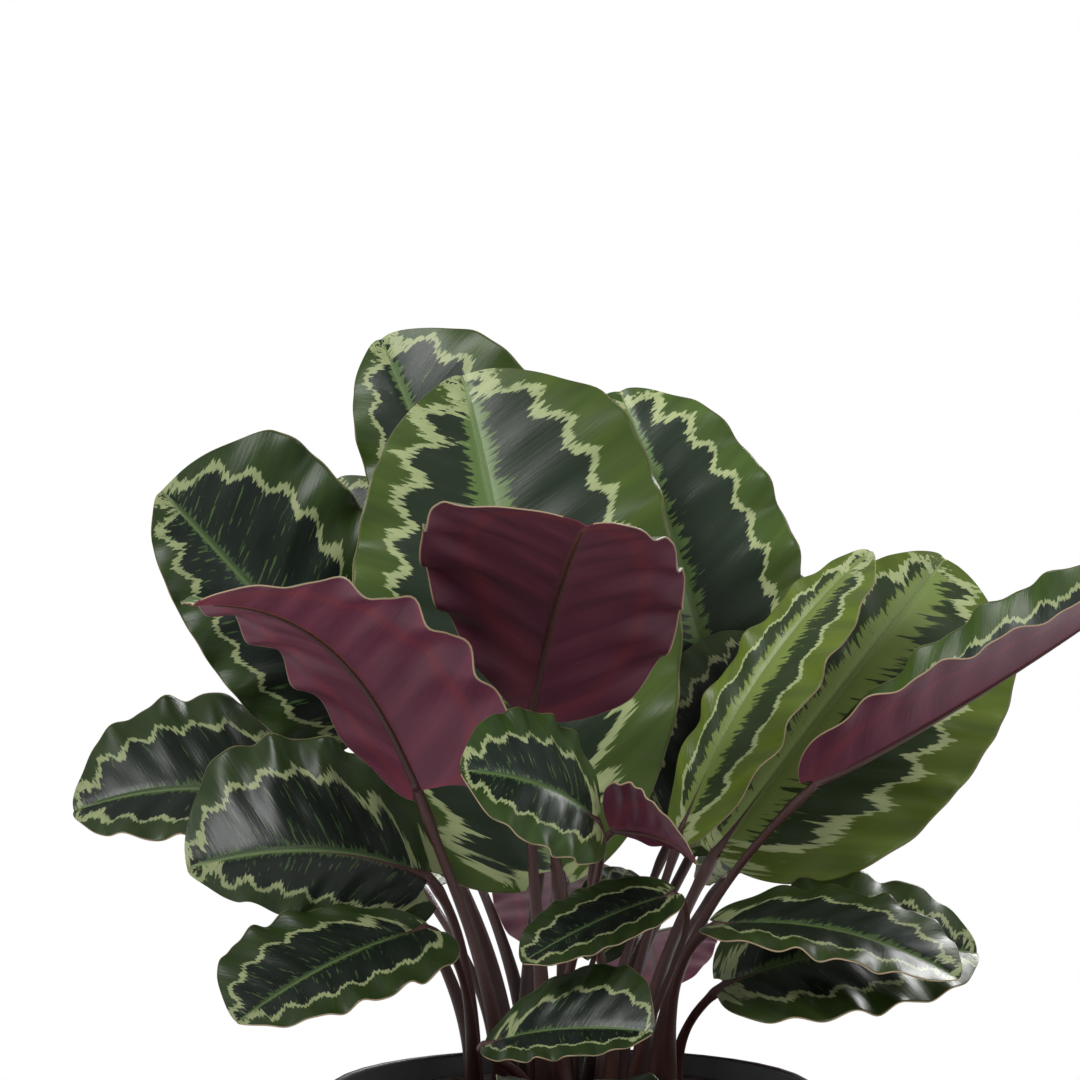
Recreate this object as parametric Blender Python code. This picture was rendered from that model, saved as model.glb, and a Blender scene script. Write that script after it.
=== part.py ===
"""Potted calathea: a tapered nursery pot, its soil, the rootstock, and a stem and a blade for each leaf.

Metres, +Z up, with the origin at the middle of the pot's flat base and the plant facing -Y.
Every leaf is one line of LEAVES. Its blade is a curved sheet carried by the midrib from base to tip,
and its stem is one smooth curve from the rootstock to the blade's base.
"""
import math

import bpy
import bmesh
import numpy as np

# ---- driving dimensions (metres) ------------------------------------------------------------
POT_HEIGHT = 0.152
RIM_RADIUS = 0.085
BASE_RADIUS = 0.061
WALL = 0.0016
RIM_BAND_HEIGHT = 0.016
RIM_BAND_STEP = 0.0022
LIP = 0.0030
FOOT = 0.0030
DRAIN_COUNT = 8
DRAIN_RADIUS = 0.0045
DRAIN_CIRCLE = 0.046
POT_SIDES = 40

GAP = 0.0003                     # running gap between pieces that touch
SOIL_LEVEL = 0.1430
CROWN_TOP = 0.1450
CROWN_DEPTH = 0.018
CROWN_HALF_X = 0.043
CROWN_HALF_Y = 0.034
SOIL_SIDES = 32

BLADE_THICKNESS = 0.0008
BLADE_ROWS = 8                  # cells along the midrib
BLADE_COLUMNS = 4                # cells across, two each side of the midrib
BLADE_TRIM = 0.006               # share of the midrib left off at each end, where the outline closes
STEM_RINGS = 9
STEM_SIDES = 6
STEM_UP = 0.38                   # how far a stem keeps upright, and keeps in line with its blade
STEM_IN = 0.30
BLADE_SEAT = 0.0008              # between a stem's end and its blade
SHEATH_RADIUS = 0.0040           # of a stem whose blade is SHEATH_LEAF wide
PETIOLE_RADIUS = 0.0019
SHEATH_LEAF = 0.100

# A blade: base and tip of its midrib; full width; face, the azimuth (0 is -Y, 90 is +X) and elevation of
# its upper side in degrees; root, where its stem leaves the rootstock. The rest has usual values: arch is
# the midrib's rise as a share of its length, fold and curl are each half's slope and change of slope in
# degrees (left, right, seen from above with the tip ahead), wide is where each half is widest, square how
# full its outline is, halves each half's share of the width, wave the height of the margin's waves, and
# sway how far the stem leans aside on its way up.
USUAL = dict(arch=0.10, fold=(12, 12), curl=(-14, -14), wave=0.0035, waves=5, phase=0.0, twist=0,
             wide=(0.46, 0.46), square=(2.1, 2.1), halves=(1.0, 1.0), lobes=0.03, sway=(0.0, 0.0))
LEAVES = {
    "leaf_centre": dict(
        base=(-0.005, 0.000, 0.227), tip=(-0.039, 0.045, 0.400), width=0.122, face=(4, 12),
        root=(-0.003, 0.007), arch=0.05, wide=(0.35, 0.60), square=(1.9, 2.6)),
    "leaf_back_top": dict(
        base=(-0.011, 0.078, 0.283), tip=(-0.070, 0.100, 0.413), width=0.080, face=(-10, 15),
        root=(-0.014, 0.018), sway=(-0.008, 0.0), arch=0.08, wide=(0.50, 0.60), halves=(0.66, 1.2)),
    "leaf_purple_centre": dict(
        base=(-0.014, -0.030, 0.284), tip=(0.004, -0.130, 0.353), width=0.094, face=(180, 35),
        root=(-0.009, -0.004), wide=(0.38, 0.70), square=(2.0, 2.7), halves=(0.92, 1.06)),
    "leaf_purple_left": dict(
        base=(-0.052, -0.054, 0.260), tip=(-0.123, -0.122, 0.327), width=0.085, face=(150, 50),
        root=(-0.024, -0.014), arch=0.18, sway=(0.0, -0.020), wide=(0.26, 0.45), square=(2.5, 2.1),
        halves=(1.15, 0.75)),
    "leaf_left_upper": dict(
        base=(-0.073, 0.045, 0.277), tip=(-0.145, 0.022, 0.359), width=0.082, face=(-10, 20),
        root=(-0.021, 0.009), wide=(0.34, 0.66), square=(2.0, 3.2), halves=(0.74, 1.2)),
    "leaf_back_left": dict(
        base=(-0.055, 0.090, 0.265), tip=(-0.087, 0.110, 0.361), width=0.070, face=(0, 25),
        root=(-0.015, 0.026)),
    "leaf_right_upper": dict(
        base=(0.056, 0.060, 0.268), tip=(0.018, 0.080, 0.394), width=0.098, face=(10, 10),
        root=(0.012, 0.016), arch=0.08, wide=(0.50, 0.44), halves=(1.0, 0.88)),
    "leaf_right_inner": dict(
        base=(0.035, 0.034, 0.234), tip=(0.071, 0.056, 0.305), width=0.060, face=(10, 15),
        root=(0.011, 0.006), arch=0.08),
    "leaf_small_round": dict(
        base=(0.008, -0.074, 0.252), tip=(-0.037, -0.106, 0.272), width=0.056, face=(0, 38),
        root=(0.000, -0.013), arch=0.12, sway=(-0.014, 0.0)),
    "leaf_small_purple": dict(
        base=(0.014, -0.046, 0.246), tip=(0.041, -0.073, 0.238), width=0.044, face=(180, 45),
        root=(0.012, -0.010), sway=(0.010, 0.0), waves=2, wide=(0.50, 0.60), square=(2.0, 2.6), halves=(0.5, 1.4)),
    "leaf_right_narrow": dict(
        base=(0.038, -0.010, 0.242), tip=(0.104, 0.000, 0.339), width=0.064, face=(-52, 22),
        root=(0.017, -0.003), arch=0.08, halves=(0.5, 1.0)),
    "leaf_right_large": dict(
        base=(0.050, 0.012, 0.231), tip=(0.133, 0.034, 0.335), width=0.112, face=(0, 20),
        root=(0.024, 0.008), arch=0.06, wide=(0.46, 0.54), square=(2.1, 2.4), halves=(0.5, 1.0), lobes=0.0),
    "leaf_purple_right": dict(
        base=(0.083, -0.030, 0.260), tip=(0.195, -0.060, 0.333), width=0.062, face=(0, 65),
        root=(0.029, -0.003), arch=-0.02, fold=(38, 68), curl=(-10, -20), twist=40, halves=(0.85, 0.85)),
    "leaf_lower_right_front": dict(
        base=(0.048, -0.040, 0.213), tip=(0.129, -0.072, 0.199), width=0.058, face=(20, 70),
        root=(0.034, -0.010), arch=0.09),
    "leaf_lower_right_back": dict(
        base=(0.052, -0.024, 0.190), tip=(0.140, -0.020, 0.201), width=0.070, face=(10, 55),
        root=(0.036, 0.006)),
    "leaf_left_far": dict(
        base=(-0.086, 0.030, 0.243), tip=(-0.176, 0.020, 0.246), width=0.076, face=(-10, 45),
        root=(-0.034, 0.011), arch=0.15, halves=(0.7, 1.1)),
    "leaf_left_large": dict(
        base=(-0.049, -0.028, 0.228), tip=(-0.131, -0.046, 0.233), width=0.084, face=(-10, 32),
        root=(-0.034, 0.001), arch=0.20, fold=(-40, 8), wide=(0.30, 0.60), square=(2.1, 2.8),
        halves=(0.62, 1.04), lobes=0.12),
    "leaf_left_lower": dict(
        base=(-0.050, -0.046, 0.213), tip=(-0.111, -0.090, 0.187), width=0.060, face=(-20, 48),
        root=(-0.034, -0.010), arch=0.06, wide=(0.35, 0.60)),
    "leaf_front_low": dict(
        base=(-0.030, -0.066, 0.176), tip=(0.026, -0.098, 0.185), width=0.048, face=(-10, 45),
        root=(-0.014, -0.021), arch=0.08, wide=(0.66, 0.50), halves=(1.05, 0.6), lobes=0.0),
    "leaf_front_rim": dict(
        base=(-0.004, -0.042, 0.157), tip=(0.020, -0.128, 0.148), width=0.064, face=(5, 62),
        root=(0.004, -0.023), arch=0.05, fold=(8, 22), curl=(-10, -5)),
    "leaf_mid_curled": dict(
        base=(0.034, -0.058, 0.226), tip=(-0.017, -0.084, 0.206), width=0.032, face=(0, 60),
        root=(0.020, -0.019), sway=(0.0, -0.010), arch=0.05),
    "leaf_back_small": dict(
        base=(0.008, 0.030, 0.192), tip=(0.020, 0.050, 0.222), width=0.026, face=(0, 30),
        root=(0.001, 0.017)),
    "leaf_back_middle": dict(
        base=(-0.002, 0.054, 0.222), tip=(-0.010, 0.122, 0.182), width=0.046, face=(180, 60),
        root=(-0.003, 0.028), arch=0.10),
    "leaf_back_low": dict(
        base=(0.026, 0.058, 0.197), tip=(0.034, 0.118, 0.168), width=0.050, face=(180, 60),
        root=(0.006, 0.027), arch=0.12),
    "leaf_back_right": dict(
        base=(0.062, 0.080, 0.259), tip=(0.087, 0.100, 0.325), width=0.060, face=(10, 25),
        root=(0.016, 0.026)),
    "leaf_back_low_left": dict(
        base=(-0.055, 0.065, 0.215), tip=(-0.110, 0.130, 0.215), width=0.065, face=(200, 60),
        root=(-0.025, 0.019), arch=0.12),
    "leaf_back_low_right": dict(
        base=(0.055, 0.070, 0.215), tip=(0.125, 0.125, 0.225), width=0.065, face=(150, 62),
        root=(0.024, 0.018), arch=0.12),
}


# ---- small helpers ---------------------------------------------------------------------------
def unit(vectors):
    return vectors / np.linalg.norm(vectors, axis=-1, keepdims=True)


def make_material(name, colour, roughness, metallic=0.0):
    material = bpy.data.materials.new(name)
    material.use_nodes = True
    shader = material.node_tree.nodes["Principled BSDF"]
    shader.inputs["Base Color"].default_value = (*colour, 1.0)
    shader.inputs["Roughness"].default_value = roughness
    shader.inputs["Metallic"].default_value = metallic
    return material


def make_object(name, points, faces, material, smooth_angle=40):
    mesh = bpy.data.meshes.new(name)
    mesh.from_pydata([tuple(point) for point in points], [], faces)
    mesh.validate()
    mesh.shade_smooth()
    mesh.set_sharp_from_angle(angle=math.radians(smooth_angle))
    mesh.materials.append(material)
    item = bpy.data.objects.new(name, mesh)
    bpy.context.collection.objects.link(item)
    return item


def turned(profile, sides, closed_profile):
    """Points and faces of a profile of (radius, height) pairs turned about Z.

    A closed profile makes a ring; an open one runs from the axis, down its outside, back to the axis.
    """
    angles = np.linspace(0.0, 2 * math.pi, sides, endpoint=False)
    inner = profile if closed_profile else profile[1:-1]
    points = [(r * math.cos(a), r * math.sin(a), z) for r, z in inner for a in angles]
    faces = []
    for i in range(len(inner) if closed_profile else len(inner) - 1):
        j = (i + 1) % len(inner)
        for k in range(sides):
            n = (k + 1) % sides
            faces.append((i * sides + k, j * sides + k, j * sides + n, i * sides + n))
    if not closed_profile:
        top, bottom = len(points), len(points) + 1
        points += [(0.0, 0.0, profile[0][1]), (0.0, 0.0, profile[-1][1])]
        last = (len(inner) - 1) * sides
        for k in range(sides):
            n = (k + 1) % sides
            faces.append((top, k, n))
            faces.append((bottom, last + n, last + k))
    return points, faces


def wall_radius(height):
    """Radius of the pot's outer wall under the rim band."""
    share = height / (POT_HEIGHT - RIM_BAND_HEIGHT)
    return BASE_RADIUS + (RIM_RADIUS - RIM_BAND_STEP - LIP * 0.5 - BASE_RADIUS) * share


# ---- pot -------------------------------------------------------------------------------------
def make_pot(material):
    band = POT_HEIGHT - RIM_BAND_HEIGHT
    foot = BASE_RADIUS - FOOT
    profile = [
        (0.0, WALL),
        (foot - WALL, WALL),
        (wall_radius(FOOT) - WALL, FOOT + WALL),
        (wall_radius(band) - WALL, band),
        (wall_radius(band) + RIM_BAND_STEP - WALL, band + WALL),
        (RIM_RADIUS - LIP, POT_HEIGHT - LIP * 0.5),
        (RIM_RADIUS - LIP * 0.8, POT_HEIGHT - LIP * 0.1),
        (RIM_RADIUS - LIP * 0.5, POT_HEIGHT),
        (RIM_RADIUS - LIP * 0.15, POT_HEIGHT - LIP * 0.15),
        (RIM_RADIUS, POT_HEIGHT - LIP * 0.6),
        (RIM_RADIUS - LIP * 0.3, POT_HEIGHT - LIP * 1.3),
        (wall_radius(band) + RIM_BAND_STEP, band + LIP),
        (wall_radius(band) + RIM_BAND_STEP, band),
        (wall_radius(band), band - WALL),
        (wall_radius(FOOT), FOOT),
        (foot, 0.0),
        (0.0, 0.0),
    ]
    pot = make_object("pot", *turned(profile, POT_SIDES, False), material)
    cutter_mesh = bpy.data.meshes.new("drain_cutter")
    cutter_shape = bmesh.new()
    for i in range(DRAIN_COUNT):
        angle = 2 * math.pi * (i + 0.5) / DRAIN_COUNT
        made = bmesh.ops.create_cone(cutter_shape, cap_ends=True, segments=14, radius1=DRAIN_RADIUS,
                                     radius2=DRAIN_RADIUS, depth=6 * WALL)
        place = (DRAIN_CIRCLE * math.cos(angle), DRAIN_CIRCLE * math.sin(angle), 0.0)
        bmesh.ops.translate(cutter_shape, vec=place, verts=made["verts"])
    cutter_shape.to_mesh(cutter_mesh)
    cutter_shape.free()
    cutter = bpy.data.objects.new("drain_cutter", cutter_mesh)
    bpy.context.collection.objects.link(cutter)
    cutter.hide_render = True
    cutter.display_type = "WIRE"
    drains = pot.modifiers.new("drains", "BOOLEAN")
    drains.operation = "DIFFERENCE"
    drains.solver = "EXACT"
    drains.object = cutter
    return pot


# ---- soil and rootstock ----------------------------------------------------------------------
def ring(half_x, half_y, height, sides=SOIL_SIDES):
    angles = np.linspace(0.0, 2 * math.pi, sides, endpoint=False)
    return [(half_x * math.cos(a), half_y * math.sin(a), height) for a in angles]


def capped_rings(rings, sides=SOIL_SIDES):
    """One closed body through the rings, first ring on top, both ends closed by a middle point."""
    points = [point for one in rings for point in one]
    faces = []
    for i in range(len(rings) - 1):
        for k in range(sides):
            n = (k + 1) % sides
            faces.append((i * sides + k, (i + 1) * sides + k, (i + 1) * sides + n, i * sides + n))
    top, bottom = len(points), len(points) + 1
    points += [tuple(np.mean(rings[0], axis=0)), tuple(np.mean(rings[-1], axis=0))]
    last = (len(rings) - 1) * sides
    for k in range(sides):
        n = (k + 1) % sides
        faces.append((top, k, n))
        faces.append((bottom, last + n, last + k))
    return points, faces


def make_soil(material):
    """Peat that fills the pot to SOIL_LEVEL, with a seat sunk in its top for the rootstock."""
    seat = CROWN_TOP - CROWN_DEPTH - GAP
    edge = 0.0050                                     # the peat falls a little towards the pot's wall
    band = POT_HEIGHT - RIM_BAND_HEIGHT
    flat = math.cos(math.pi / POT_SIDES)              # the pot's inner wall is closest at its flats
    upper = (wall_radius(band) - WALL) * flat - GAP
    lower = (wall_radius(FOOT) - WALL) * flat - GAP
    rings = [
        ring(CROWN_HALF_X * 0.8 + GAP, CROWN_HALF_Y * 0.8 + GAP, seat),
        ring(CROWN_HALF_X + GAP, CROWN_HALF_Y + GAP, SOIL_LEVEL),
        ring(0.5 * (CROWN_HALF_X + upper), 0.5 * (CROWN_HALF_Y + upper), SOIL_LEVEL + 0.0010),
        ring(upper, upper, SOIL_LEVEL - edge),
        ring(upper, upper, band),
        ring(lower, lower, FOOT + WALL + GAP),
        ring(lower - FOOT, lower - FOOT, WALL + GAP),
    ]
    return make_object("soil", *capped_rings(rings), material)


def make_crown(material):
    """The rootstock: a low dome cut flat on top, where the stems stand."""
    rings = [
        ring(CROWN_HALF_X - 0.002, CROWN_HALF_Y - 0.002, CROWN_TOP),
        ring(CROWN_HALF_X, CROWN_HALF_Y, SOIL_LEVEL),
        ring(CROWN_HALF_X * 0.8, CROWN_HALF_Y * 0.8, CROWN_TOP - CROWN_DEPTH),
    ]
    return make_object("crown", *capped_rings(rings), material)


# ---- leaves ----------------------------------------------------------------------------------
def facing(azimuth, elevation):
    a, e = math.radians(azimuth), math.radians(elevation)
    return np.array([math.sin(a) * math.cos(e), -math.cos(a) * math.cos(e), math.sin(e)])


def midrib(leaf, u):
    """Points of the midrib at shares u of its length: the base-to-tip line, bowed towards the face."""
    base, tip = np.array(leaf["base"]), np.array(leaf["tip"])
    along = tip - base
    length = np.linalg.norm(along)
    normal = facing(*leaf["face"])
    normal = unit(normal - along * (normal @ along) / length ** 2)
    bow = leaf["arch"] * length * 4 * u * (1 - u)
    return base + along * u[:, None] + normal * bow[:, None], normal, length


def blade_outline(leaf, u, side):
    """Half width at shares u on side 0 (left) or 1 (right): a superellipse, narrowed at the tip."""
    skewed = np.clip(u, 0, 1) ** (math.log(0.5) / math.log(leaf["wide"][side]))
    power = leaf["square"][side]
    body = (1 - np.abs(2 * skewed - 1) ** power) ** (1 / power)
    near_tip = np.clip((u - 0.90) / 0.10, 0, 1)
    narrowed = 1 - 0.25 * near_tip ** 2 * (3 - 2 * near_tip)
    return leaf["width"] / 2 * leaf["halves"][side] * body * narrowed


def blade_surface(leaf, rows, columns):
    """A grid of points of the blade: rows from base to tip, columns from its left to its right margin.

    Each half leaves the midrib at its fold angle, which changes evenly to fold + curl at the margin, and
    the margin waves along the normal.
    """
    u = BLADE_TRIM + (1 - 2 * BLADE_TRIM) * (1 - np.cos(np.linspace(0, math.pi, rows + 1))) / 2
    v = np.linspace(-1, 1, columns + 1)
    spine, normal, length = midrib(leaf, u)
    step = 1e-4
    tangent = unit(midrib(leaf, u + step)[0] - midrib(leaf, u - step)[0])
    up = unit(normal - tangent * (tangent @ normal)[:, None])
    side = np.cross(tangent, up)
    turn = np.radians(leaf["twist"]) * (u - 0.5)[:, None]
    up, side = up * np.cos(turn) + side * np.sin(turn), side * np.cos(turn) - up * np.sin(turn)
    points = np.zeros((rows + 1, columns + 1, 3))
    for j, across in enumerate(v):
        half = 0 if across < 0 else 1
        distance = abs(across) * blade_outline(leaf, u, half)
        fold = math.radians(leaf["fold"][half])
        rate = math.radians(leaf["curl"][half]) * 2 / leaf["width"]
        out = (np.sin(fold + rate * distance) - math.sin(fold)) / rate
        rise = (math.cos(fold) - np.cos(fold + rate * distance)) / rate
        ripple = np.sin(2 * math.pi * (leaf["waves"] * u + leaf["phase"] + (0.31 if half == 0 else 0)))
        rise = rise + leaf["wave"] * abs(across) ** 2.5 * ripple * np.sin(math.pi * u) ** 0.7
        lobe = max(0.0, abs(across) - 0.45) / 0.55
        back = -leaf["lobes"] * length * lobe ** 2 * np.clip(1 - u / 0.35, 0, 1) ** 2
        out = out * (1 if half else -1)
        points[:, j] = spine + side * out[:, None] + up * rise[:, None] + tangent * back[:, None]
    return points


def sheet_normals(points):
    along = np.gradient(points, axis=0)
    across = np.gradient(points, axis=1)
    return unit(np.cross(across, along))


def make_blade(name, leaf, material):
    """The blade's sheet given its thickness: an upper and a lower skin joined round the margin."""
    points = blade_surface(leaf, BLADE_ROWS, BLADE_COLUMNS)
    offset = sheet_normals(points) * BLADE_THICKNESS / 2
    skins = np.concatenate([(points + offset).reshape(-1, 3), (points - offset).reshape(-1, 3)])
    wide = BLADE_COLUMNS + 1
    count = points.shape[0] * wide
    faces = []
    for i in range(BLADE_ROWS):
        for j in range(BLADE_COLUMNS):
            a, b = i * wide + j, (i + 1) * wide + j
            faces.append((a, a + 1, b + 1, b))
            faces.append((count + b, count + b + 1, count + a + 1, count + a))
    rim = [j for j in range(wide)]
    rim += [i * wide + BLADE_COLUMNS for i in range(1, BLADE_ROWS + 1)]
    rim += [BLADE_ROWS * wide + j for j in range(BLADE_COLUMNS - 1, -1, -1)]
    rim += [i * wide for i in range(BLADE_ROWS - 1, 0, -1)]
    for a, b in zip(rim, rim[1:] + rim[:1]):
        faces.append((b, a, count + a, count + b))
    return make_object(name + "_blade", skins, faces, material, smooth_angle=60)


def stem_path(leaf, count):
    """Points of the stem: a cubic curve that rises from the rootstock and meets the midrib in line."""
    base, _, _ = midrib(leaf, np.array([BLADE_TRIM, BLADE_TRIM + 0.01]))
    along = unit(base[1] - base[0])
    end = base[0] - along * BLADE_SEAT
    root = np.array([*leaf["root"], CROWN_TOP + GAP])
    span = np.linalg.norm(end - root)
    first = root + np.array([*leaf["sway"], STEM_UP * span])
    last = end - unit(0.6 * along + 0.4 * unit(end - root)) * STEM_IN * span
    s = np.linspace(0, 1, count)[:, None]
    return (1 - s) ** 3 * root + 3 * s * (1 - s) ** 2 * first + 3 * s ** 2 * (1 - s) * last + s ** 3 * end


def stem_radii(leaf, count):
    """Radius along the stem: the sheath, thinning to the petiole, then the thicker pulvinus."""
    s = np.linspace(0, 1, count)
    size = (leaf["width"] / SHEATH_LEAF) ** 0.5
    sheath = np.clip(1 - s / 0.55, 0, 1)
    pulvinus = np.exp(-((s - 0.91) / 0.06) ** 2)
    radii = size * (PETIOLE_RADIUS + (SHEATH_RADIUS - PETIOLE_RADIUS) * sheath + 0.0004 * pulvinus)
    radii[-1] *= 0.6                                  # rounded off where it runs into the blade
    return radii


def make_stem(name, leaf, material):
    path = stem_path(leaf, STEM_RINGS)
    radii = stem_radii(leaf, STEM_RINGS)
    tangents = unit(np.gradient(path, axis=0))
    tangents[0] = (0, 0, 1)                           # the foot is cut level, flat on the rootstock
    tangents[-1] = unit(path[-1] - path[-2])
    angles = np.linspace(0, 2 * math.pi, STEM_SIDES, endpoint=False)
    rings = []
    first = np.array([1.0, 0.0, 0.0])
    for point, tangent, radius in zip(path, tangents, radii):
        first = unit(first - tangent * (first @ tangent))
        second = np.cross(tangent, first)
        rings.append([point + radius * (first * math.cos(a) + second * math.sin(a)) for a in angles])
    rings.reverse()                                   # capped_rings starts from the top
    return make_object(name + "_stem", *capped_rings(rings, STEM_SIDES), material)


def build():
    for item in list(bpy.data.objects):
        bpy.data.objects.remove(item)
    make_pot(make_material("pot_plastic", (0.012, 0.012, 0.013), 0.45))
    make_soil(make_material("peat", (0.016, 0.011, 0.008), 0.95))
    make_crown(make_material("rootstock", (0.045, 0.028, 0.018), 0.85))
    stem_skin = make_material("stem_skin", (0.095, 0.035, 0.030), 0.42)
    leaf_skin = make_material("leaf_skin", (0.045, 0.105, 0.035), 0.38)
    for name, special in LEAVES.items():
        leaf = {**USUAL, **special}
        make_stem(name, leaf, stem_skin)
        make_blade(name, leaf, leaf_skin)


build()
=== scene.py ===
import math

import bmesh
import bpy
import numpy as np
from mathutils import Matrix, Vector


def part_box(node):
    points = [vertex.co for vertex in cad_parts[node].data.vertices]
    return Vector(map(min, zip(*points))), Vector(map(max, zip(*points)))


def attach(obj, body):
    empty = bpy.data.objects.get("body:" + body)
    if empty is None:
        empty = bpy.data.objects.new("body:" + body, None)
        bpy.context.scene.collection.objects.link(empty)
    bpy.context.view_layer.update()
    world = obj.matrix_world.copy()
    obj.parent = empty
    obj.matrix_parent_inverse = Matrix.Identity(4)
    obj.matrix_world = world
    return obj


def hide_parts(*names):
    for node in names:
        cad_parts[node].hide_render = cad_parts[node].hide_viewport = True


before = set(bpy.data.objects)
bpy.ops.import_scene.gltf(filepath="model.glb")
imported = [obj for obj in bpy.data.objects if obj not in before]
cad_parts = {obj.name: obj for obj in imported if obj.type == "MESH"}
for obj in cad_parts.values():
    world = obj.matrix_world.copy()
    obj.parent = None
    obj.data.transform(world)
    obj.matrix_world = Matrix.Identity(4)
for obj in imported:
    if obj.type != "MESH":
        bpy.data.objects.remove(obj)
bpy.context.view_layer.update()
print("frame loaded:", len(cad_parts), "nodes")


def unit(vectors):
    # each vector divided by its own length
    return vectors / np.maximum(np.linalg.norm(vectors, axis=-1, keepdims=True), 1e-12)


def smoothStep(value, low, high):
    # 0 below low, 1 above high, 3t^2 - 2t^3 between
    t = np.clip((value - low) / (high - low), 0.0, 1.0)
    return t * t * (3 - 2 * t)


def gridFaces(rows, columns, start=0, wrap=False, flip=False):
    # quads between neighbouring rows and columns of a point grid; wrap joins the last column to the first
    across = columns if wrap else columns - 1
    i, j = np.meshgrid(np.arange(rows - 1), np.arange(across), indexing="ij")
    n = (j + 1) % columns
    quads = np.stack([i * columns + j, i * columns + n, (i + 1) * columns + n, (i + 1) * columns + j], -1)
    quads = quads.reshape(-1, 4) + start
    return quads[:, ::-1] if flip else quads


def newPiece(name, points, quads, materials, triangles=None, slots=None, attributes=None):
    # a mesh object at the origin from whole arrays of points and faces
    mesh = bpy.data.meshes.new(name)
    sizes = np.full(len(quads), 4)
    corners = quads.reshape(-1)
    if triangles is not None and len(triangles):
        sizes = np.concatenate([sizes, np.full(len(triangles), 3)])
        corners = np.concatenate([corners, triangles.reshape(-1)])
    mesh.vertices.add(len(points))
    mesh.vertices.foreach_set("co", np.asarray(points, np.float32).reshape(-1))
    mesh.loops.add(len(corners))
    mesh.loops.foreach_set("vertex_index", corners.astype(np.int32))
    mesh.polygons.add(len(sizes))
    starts = np.concatenate([[0], np.cumsum(sizes)[:-1]])
    mesh.polygons.foreach_set("loop_start", starts.astype(np.int32))
    mesh.update(calc_edges=True)
    mesh.validate()
    for material in materials:
        mesh.materials.append(material)
    if slots is not None:
        mesh.polygons.foreach_set("material_index", slots.astype(np.int32))
    for label, values in (attributes or {}).items():
        layer = mesh.attributes.new(label, "FLOAT_VECTOR", "POINT")
        layer.data.foreach_set("vector", np.asarray(values, np.float32).reshape(-1))
    mesh.shade_smooth()
    piece = bpy.data.objects.new(name, mesh)
    bpy.context.scene.collection.objects.link(piece)
    return piece


def plug(tree, source, socket):
    # a socket takes either another node's output or a plain value
    if isinstance(source, bpy.types.NodeSocket):
        tree.links.new(source, socket)
    else:
        socket.default_value = source


def mathNode(tree, operation, first, second=0.0, third=0.0):
    node = tree.nodes.new("ShaderNodeMath")
    node.operation = operation
    for socket, value in zip(node.inputs, (first, second, third)):
        plug(tree, value, socket)
    return node.outputs[0]


def rampNode(tree, value, low, high, fromLow=0.0, toHigh=1.0):
    # smooth step from fromLow at low to toHigh at high
    node = tree.nodes.new("ShaderNodeMapRange")
    node.interpolation_type = "SMOOTHSTEP"
    plug(tree, value, node.inputs["Value"])
    plug(tree, low, node.inputs["From Min"])
    plug(tree, high, node.inputs["From Max"])
    plug(tree, fromLow, node.inputs["To Min"])
    plug(tree, toHigh, node.inputs["To Max"])
    return node.outputs["Result"]


def mixNode(tree, factor, first, second, blend="MIX"):
    node = tree.nodes.new("ShaderNodeMix")
    node.data_type = "RGBA"
    node.blend_type = blend
    plug(tree, factor, node.inputs[0])
    for value, socket in ((first, node.inputs[6]), (second, node.inputs[7])):
        plug(tree, (*value, 1.0) if isinstance(value, tuple) else value, socket)
    return node.outputs[2]


def noiseNode(tree, vector, scale, detail=2.0, roughness=0.5):
    node = tree.nodes.new("ShaderNodeTexNoise")
    plug(tree, vector, node.inputs["Vector"])
    node.inputs["Scale"].default_value = scale
    node.inputs["Detail"].default_value = detail
    node.inputs["Roughness"].default_value = roughness
    return node.outputs["Fac"]


def attributeNode(tree, name):
    # the three numbers that a piece carries at each point
    node = tree.nodes.new("ShaderNodeAttribute")
    node.attribute_name = name
    split = tree.nodes.new("ShaderNodeSeparateXYZ")
    tree.links.new(node.outputs["Vector"], split.inputs[0])
    return split.outputs[0], split.outputs[1], split.outputs[2]


def joinNode(tree, x, y, z):
    node = tree.nodes.new("ShaderNodeCombineXYZ")
    for socket, value in zip(node.inputs, (x, y, z)):
        plug(tree, value, socket)
    return node.outputs[0]


def newMaterial(name, roughness):
    material = bpy.data.materials.new(name)
    material.use_nodes = True
    shader = material.node_tree.nodes["Principled BSDF"]
    shader.inputs["Roughness"].default_value = roughness
    return material, material.node_tree, shader


def bumpNode(tree, height, strength, distance):
    node = tree.nodes.new("ShaderNodeBump")
    node.inputs["Strength"].default_value = strength
    node.inputs["Distance"].default_value = distance
    plug(tree, height, node.inputs["Height"])
    return node.outputs["Normal"]


def useGroup(tree, group):
    node = tree.nodes.new("ShaderNodeGroup")
    node.node_tree = group
    return node.outputs


def scaled(tree, colour, factor):
    # a colour multiplied by one number
    return mixNode(tree, 1.0, colour, joinNode(tree, factor, factor, factor), "MULTIPLY")


def finishPiece(piece, slot, *nodes):
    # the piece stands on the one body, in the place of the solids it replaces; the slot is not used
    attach(piece, "root")
    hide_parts(*nodes)


# leafPlace carries (vein coordinate, share of the way from midrib to margin, ring level), where the vein
# coordinate is constant along a side vein and the ring level is 1 on the pale band.
# The tone attribute carries (yellowness, lightness, the leaf's own number); the lightness is painted light
# and shade, darker for leaves in shade, the low leaves darkest.
veinLook = {"fineStreaks": 11.0, "fineLength": 3.0, "broadStreaks": 3.4, "broadLength": 1.6,
            "fineBump": 0.6, "panelBump": 0.25}


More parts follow.
